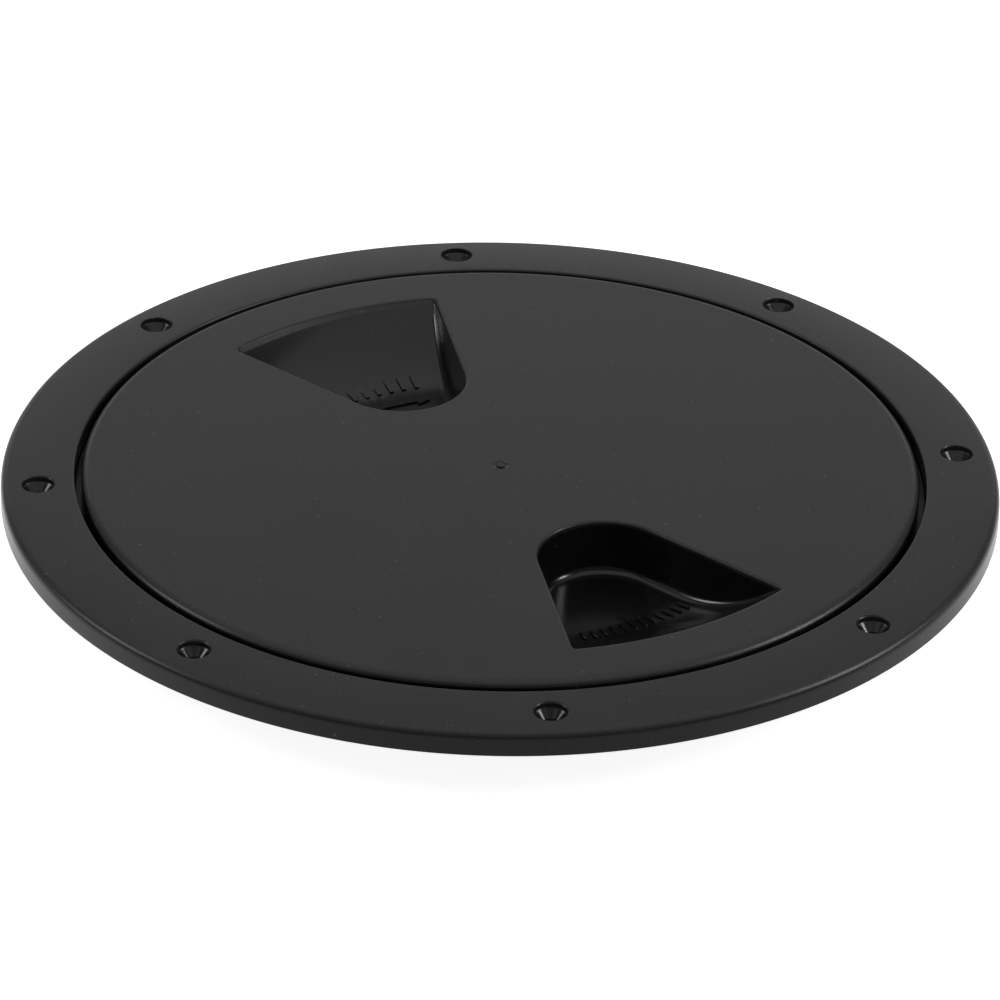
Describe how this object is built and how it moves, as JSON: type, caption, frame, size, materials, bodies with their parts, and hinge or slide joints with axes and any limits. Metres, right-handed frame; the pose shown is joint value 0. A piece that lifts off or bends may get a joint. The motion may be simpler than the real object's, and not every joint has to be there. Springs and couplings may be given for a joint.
{
  "type": "deck hatch",
  "caption": "Round screw-in deck hatch: flush threaded lid with two finger recesses in a flange with countersunk screw holes.",
  "frame": {"origin": "centre of the screw circle on the underside of the flange, which lies on the deck", "axes": "+Z out of the deck along the lid's axis, +X through a screw hole"},
  "size_m": [0.254, 0.254, 0.0208],
  "materials": {
    "black_plastic": "fine matte texture, smooth and glossier inside the finger recesses",
    "seal_rubber": "satin"
  },
  "bodies": {
    "frame": {"mounting_frame": "black_plastic"},
    "seal": {"lid_o_ring": "seal_rubber"},
    "lid": {"screw_lid": "black_plastic"}
  },
  "joints": [
    {"name": "lid_lift", "type": "slide", "parent": "frame", "child": "seal", "axis": [0, 0, 1], "range_m": [0, 0.0221]},
    {"name": "lid_turn", "type": "hinge", "parent": "seal", "child": "lid", "pos_m": [0, 0, 0], "axis": [0, 0, 1], "range_deg": [0, 990]}
  ],
  "couplings": [
    {"joint": "lid_lift", "follows": "lid_turn", "m_per_rad": 0.0012732}
  ]
}
